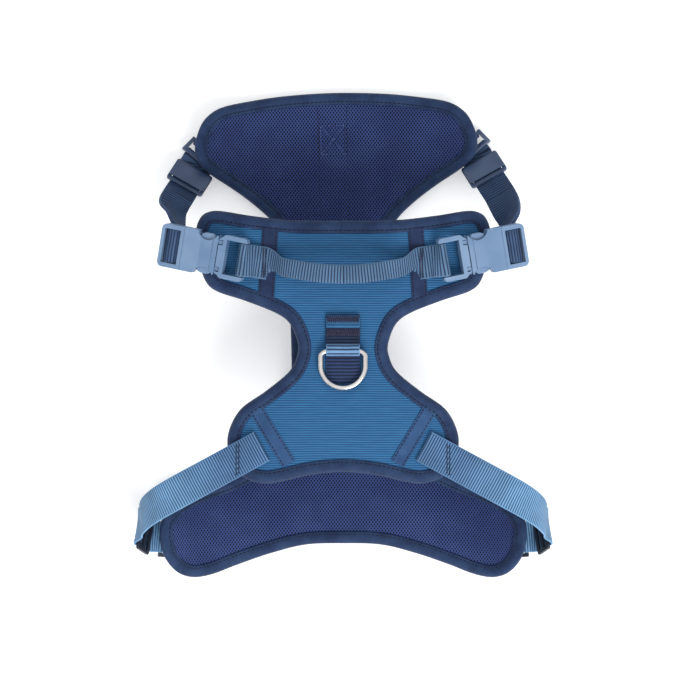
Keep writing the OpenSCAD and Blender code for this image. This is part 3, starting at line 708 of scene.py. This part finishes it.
def tack(name, x0, x1, y, z, mat="tack", wide=4.6, body="harness", slot="webbing_slate"):
    """A bar tack: close zigzag of thread across the webbing."""
    n = int((x1 - x0) / 0.75)
    runs = []
    for i in range(n):
        x = x0 + (x1 - x0) * (i + 0.5) / n
        lean_ = 0.35 * (1 if i % 2 else -1)
        runs.append([(x - lean_, y - wide / 2, z, 0, 0, 1), (x + lean_, y + wide / 2, z, 0, 0, 1)])
    o = stitches(name, runs, mat, wide, wide, 0.8, 0.35)
    return dress(o, body, slot)


tack("leash_tack_rear", -12.2, 12.2, 23.4, 90.9)
tack("leash_tack_front", -12.2, 12.2, 13.2, 90.9)


# ---- Handle: flat sewn roots, folded lengthwise to a grip between them ----
def buckle(u, v, w):
    q = [math.radians(d) for d in (9, 12, 12)]
    m = Matrix.Rotation(q[2], 3, "Z") @ Matrix.Rotation(q[1], 3, "Y") @ Matrix.Rotation(q[0], 3, "X")
    return np.array(m @ Vector((u, v, w))) + np.array([73, 67, 93.5])


BV = unit(buckle(0, 1, 0) - buckle(0, 0, 0))


def fold_section(f, n=8):
    """Middle line of the webbing's cross-section: flat at f = 0, folded double at f = 1."""
    r, half = 1.0, 12.3
    turn = math.pi * f
    line = [(half - half * k / n, 0.0, 0.0) for k in range(n + 1)]
    y, z, a = line[-1][0], 0.0, 0.0
    for k in range(10):
        da, ds = turn / 10, max(r * turn / 10, 1e-4)
        y, z = y - math.cos(a + da / 2) * ds, z - math.sin(a + da / 2) * ds
        a += da
        line.append((y, z, a))
    rest = half - r * turn * 0.8
    for k in range(1, n + 1):
        line.append((y - math.cos(a) * rest * k / n, z - math.sin(a) * rest * k / n, a))
    shift = 6.3 * f
    return [(p[0] - shift, p[1] + r * f, p[2]) for p in line]


def handle_half(s, n):
    st = [(0, 57, 113, 1), (12.5, 57.5, 112.2, 1), (25, 59, 110, 1), (36, 61, 105.5, 1),
          (44, 62.5, 100, .97), (49, 63.6, 95.2, .7), (53.5, 64.8, 91.6, .32),
          (58, 65.6, 89.9, .04), (62, 66, 89.4, 0),
          (66, 66.6, 89.6, 0), (69.4, 67, 91.6, 0)]
    rows = [np.array([s * x, y, z, f, 0, 1, 0]) for x, y, z, f in st]
    for q in (135, 110, 85, 60, 30, 0, -30, -60, -90, -120, -150):
        a = math.radians(q)
        p = buckle(3 + 2.95 * math.cos(a), 0, 2.95 * math.sin(a))
        rows.append(np.array([s * p[0], p[1], p[2], 0, s * BV[0], BV[1], BV[2]]))
    rows = spline(rows, 1.4)
    pts = rows[:, :3]
    cum = np.concatenate([[0], np.cumsum(np.linalg.norm(np.diff(pts, axis=0), axis=1))])
    verts, uvs, k = [], [], 0
    for i in range(len(rows)):
        t = unit(pts[min(i + 1, len(rows) - 1)] - pts[max(i - 1, 0)])
        if i == 0:
            t = np.array([s, 0, 0.0])
        w = rows[i, 4:7] - np.dot(rows[i, 4:7], t) * t
        w = unit(w)
        up = np.cross(t, w) * s
        sec = fold_section(float(np.clip(rows[i, 3], 0, 1)))
        loop = [(y, z, a, v) for (y, z, a), v in zip(sec, np.linspace(12.4, -12.4, len(sec)))]
        top = [(y - math.sin(a) * 0.65, z + math.cos(a) * 0.65, v) for y, z, a, v in loop]
        low = [(y + math.sin(a) * 0.65, z - math.cos(a) * 0.65, v) for y, z, a, v in loop][::-1]
        ring = top + low
        k = len(ring)
        for y, z, v in ring:
            verts.append(pts[i] + w * y + up * z)
            uvs.append((cum[i] * s, v))
    faces = [(i * k + j, i * k + (j + 1) % k, (i + 1) * k + (j + 1) % k, (i + 1) * k + j)
             for i in range(len(rows) - 1) for j in range(k)]
    faces += [tuple((len(rows) - 1) * k + j for j in range(k)), tuple(range(k))[::-1]]
    if s > 0:
        faces = [f[::-1] for f in faces]
    o = make(f"handle_{n}", verts, faces, "handle", uvs)
    nodes = [f"handle_fold_{n}", f"handle_anchor_{n}"] + (["handle_grip"] if s > 0 else [])
    dress(o, None, "webbing_light", *nodes)
    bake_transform(o)
    rows = [[(s * 60.0, y, 90.75, 0, 0, 1) for y in (54.2, 77.0)],
            [(s * 58.2, y, 90.9, 0, 0, 1) for y in (54.6, 76.6)]]
    dress(stitches(f"handle_tack_{n}", rows, "tack", 1.9, 1.7, 0.9), "harness", "webbing_light")
    return o


for s, n in ((-1, "l"), (1, "r")):
    handle_half(s, n)


# ---- Girth straps: doubled from the buckle to the slider, single from there to the loop ----
def frame_at(c, d, w):
    x = unit(d)
    y = unit(np.array(w) - np.dot(w, x) * x)
    z = np.cross(x, y)
    return lambda p: np.array(c) + x * p[0] + y * p[1] + z * p[2]


def on_belly(s, p):
    q = leaned([s * p[0], p[1]])
    return (s * q[0], q[1], p[2])


def round_bar(place, x, turns):
    """Points of webbing round a loop's bar, which lies at x in the loop's own frame."""
    return [place((x + WRAP_R * math.cos(math.radians(q)), 0, WRAP_R * math.sin(math.radians(q))))
            for q in turns]


WEAVE = [(-9.8, -2.5), (-7, -2.25), (-2.1, 2), (2.1, 2), (7, -2.25), (11, -2.25)]
LOOP_W, GLIDE_W = (0.75, 0.66, 0), (0.86, 0.5, 0)
LOOP_BAR, WRAP_R = 5.4, 2.55
WEB, TAB = (25, 1.35), (25, 1.3)


def mirrored(s, st):
    return [((s * p[0], p[1], p[2]), (s * w[0], w[1], w[2]), a, t) for p, w, a, t in st]


for s, n in ((-1, "l"), (1, "r")):
    gl = frame_at(on_belly(s, (105, 159.5, 7.6)), (0.62, -0.70, 0.35), LOOP_W)
    gg = frame_at(on_belly(s, (115.2, 141.2, 15.8)), (0.45, -0.80, 0.40), GLIDE_W)
    dx = 4 if s < 0 else -2
    mid = [((126.9, 80.2, 70.4), (-.17, .97, .15)), ((127, 82.5, 62), (0, 1, .3)),
           ((129.5, 91, 52), (.2, .85, .7)),
           ((131, 102, 43.5), (.5, .6, .7)), ((130 + dx, 113, 35.5), (.8, .48, .36)),
           ((126.5 + dx, 122.5, 27.5), (.86, .5, .1))]
    bar = [buckle(59.1 + 4.9 * math.cos(math.radians(q)), 0, 3.0 * math.sin(math.radians(q)))
           for q in range(180, -1, -12)]
    bar = [buckle(55.4, 0, -7.0), buckle(54.3, 0, -3.2)] + bar
    bar += [buckle(63.9, 0, -3.2), buckle(62.8, 0, -7.0)]
    inner, outer = [], []
    for i, (p, w) in enumerate(mid):
        p, w = np.array(p, float), unit(w)
        t = unit(np.array(mid[min(i + 1, 5)][0], float) - np.array(mid[max(i - 1, 0)][0], float))
        m = unit(np.cross(t, w))
        if m[0] < 0:
            m = -m
        gap = (2.4, 1.7, 1.0, 0.75, 0.75, 0.75)[i]
        inner.append((p - m * gap, w, *WEB))
        outer.append((p + m * gap, w, *WEB))
    path = inner[::-1] + [(p, BV, *WEB) for p in bar] + outer
    path += [(gg((a, 0, b)), GLIDE_W, *WEB) for a, b in WEAVE[::-1]]
    end = round_bar(gl, LOOP_BAR, range(-60, -300, -24))
    path += [(gl((8.2, 0, -2.5)), LOOP_W, *WEB)] + [(p, LOOP_W, *WEB) for p in end]
    o = sweep(f"girth_web_{n}", mirrored(s, path), "girth", 1.5, 0.0, s)
    dress(o, None, "webbing_slate", f"girth_strap_{n}")
    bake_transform(o)
    tab = round_bar(gl, -LOOP_BAR, range(-120, 121, 24))
    path = [(gl((-10.5, 0, -2.2)), LOOP_W, *TAB)] + [(p, LOOP_W, *TAB) for p in tab]
    path += [(gl((-10.5, 0, -.4)), LOOP_W, *TAB), (on_belly(s, (92, 173, 4.6)), (.75, .66, .26), *TAB),
             (on_belly(s, (86, 179.5, 5.6)), (.75, .66, .3), *TAB)]
    o = sweep(f"girth_tab_{n}_web", mirrored(s, path), "girth", 1.5, 0.0, s)
    dress(o, "harness", "webbing_slate", f"girth_tab_{n}")


# ---- Neck straps ----
def neck_top(x):
    return np.array([x, -72.5 - 0.545 * (x - 61), 88.9 - (x - 61) * (88.9 - 46.6 - 39) / 58])


def neck_arc(q):
    a = math.radians(q)
    r = math.radians(90 - q) if q > 0 else math.pi / 2
    k = 0 if q > 0 else -a
    return np.array([119 + 39 * math.cos(a), -72.5 - 0.545 * (58 + 39 * r) - 39 * (0.545 * k - 0.19 * k * k),
                     46.6 + 39 * math.sin(a)])


DOWN = (0, -1, 0)
NG = frame_at(neck_arc(-19), neck_arc(-21) - neck_arc(-17), DOWN)
NL_C = neck_arc(-19) + 22 * unit(neck_arc(-48) - neck_arc(-34)) + np.array([-2, 0, -1])
NL = frame_at(NL_C, (-0.92, -0.1, -0.3), DOWN)
for s, n in ((-1, "l"), (1, "r")):
    path = [(neck_top(x), DOWN, *WEB) for x in (61, 72, 84, 96, 108)]
    path += [(neck_arc(q), DOWN, *WEB) for q in range(90, 8, -9)]
    path += [(NG((a, 0, -2.9)), NG((0, 1, 0)) - NG((0, 0, 0)), *WEB) for a in (-9.8, -3, 4, 10)]
    path += [(NL((-LOOP_BAR - 4.5, 0, 1.2)), DOWN, *WEB)]
    path += [(p, DOWN, *WEB) for p in round_bar(NL, -LOOP_BAR, range(115, -121, -24))]
    o = sweep(f"neck_web_{n}", mirrored(s, path), "neck", 1.5, 0.0, s)
    dress(o, "harness", "webbing_light", f"neck_strap_{n}", f"neck_return_{n}")
    path = [(NL((10.4, 0, 1.5)), DOWN, *TAB)]
    path += [(p, DOWN, *TAB) for p in round_bar(NL, LOOP_BAR, range(60, 301, 24))]
    path += [(NL((10.4, 0, -.6)), DOWN, *TAB), ((106, -152, 7.2), DOWN, *TAB)]
    path += [((92, -151, 3.2), DOWN, *TAB)]
    o = sweep(f"neck_tab_{n}_web", mirrored(s, path), "girth", 1.5, 0.0, s)
    dress(o, "harness", "webbing_slate", f"neck_tab_{n}")
    rows = []
    for x in (78.6, 80.6):
        a = neck_top(x)
        nrm = unit(np.cross(neck_top(90) - neck_top(70), (0, 1, 0)))
        nrm = nrm if nrm[2] > 0 else -nrm
        rows.append([(s * a[0], a[1] + y, a[2] + 0.85, s * nrm[0], nrm[1], nrm[2]) for y in (-11.5, 11.5)])
    dress(stitches(f"neck_tack_{n}", rows, "thread", 1.9, 1.7, 0.8), "harness", "webbing_light")


# ---- CAD nodes that keep their shape: eased edges and a finish ----
def finish_node(name, mat, ease=0.0006):
    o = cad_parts[name]
    o.data.materials.clear()
    o.data.materials.append(M[mat])
    w = o.modifiers.new("weld", "WELD")
    w.merge_threshold = 0.00002
    if ease:
        b = o.modifiers.new("ease", "BEVEL")
        b.width, b.segments, b.limit_method, b.angle_limit = ease, 3, "ANGLE", math.radians(32)
        b.harden_normals = True


for n in "lr":
    for part in ("buckle_plug", "buckle_socket", "arm_rear", "arm_front"):
        finish_node(f"{part}_{n}", "buckle", 0.0007)
    for part in ("girth_glide", "girth_loop"):
        finish_node(f"{part}_{n}", "slate", 0.0005)
    # The neck glides and loops take the darker slate copy: painted shade.
    for part in ("neck_glide", "neck_loop"):
        finish_node(f"{part}_{n}", "slate_shaded", 0.0005)
for name in ("leash_ring", "front_ring"):
    finish_node(name, "ring", 0)

# ---- Floor and light ----
me = bpy.data.meshes.new("floor")
me.from_pydata([(-40, -40, 0), (40, -40, 0), (40, 40, 0), (-40, 40, 0)], [], [(0, 1, 2, 3)])
floor = bpy.data.objects.new("floor", me)
scene.collection.objects.link(floor)
g = G("floor_white", Roughness=0.9, Specular_IOR_Level=0.1,
      Emission_Color=(1, 1, 1, 1), Emission_Strength=0.37)
me.materials.append(g.color(g.mix(g.noise(4.0, 2.0), (0.86, 0.86, 0.86, 1), (0.885, 0.885, 0.885, 1))))


def area(name, loc, size, power, color=(1, 1, 1)):
    d = bpy.data.lights.new(name, "AREA")
    d.shape, d.size, d.energy, d.color = "DISK", size, power, color
    o = bpy.data.objects.new(name, d)
    o.location = loc
    o.rotation_euler = (-Vector(loc)).to_track_quat("-Z", "Y").to_euler()
    scene.collection.objects.link(o)


area("key", (0.75, -1.5, 1.7), 1.3, 40)
world = bpy.data.worlds.new("world")
scene.world = world
world.use_nodes = True
nt = world.node_tree
sky = nt.nodes.new("ShaderNodeMapRange")
sky.interpolation_type = "SMOOTHSTEP"
split = nt.nodes.new("ShaderNodeSeparateXYZ")
nt.links.new(nt.nodes.new("ShaderNodeTexCoord").outputs["Generated"], split.inputs[0])
nt.links.new(split.outputs[2], sky.inputs["Value"])
for k, v in (("From Min", 0.1), ("From Max", 0.75), ("To Min", 0.3), ("To Max", 0.92)):
    sky.inputs[k].default_value = v
nt.links.new(sky.outputs[0], nt.nodes["Background"].inputs["Strength"])
nt.nodes["Background"].inputs["Color"].default_value = (0.98, 0.99, 1.0, 1)
scene.view_settings.view_transform = "Standard"
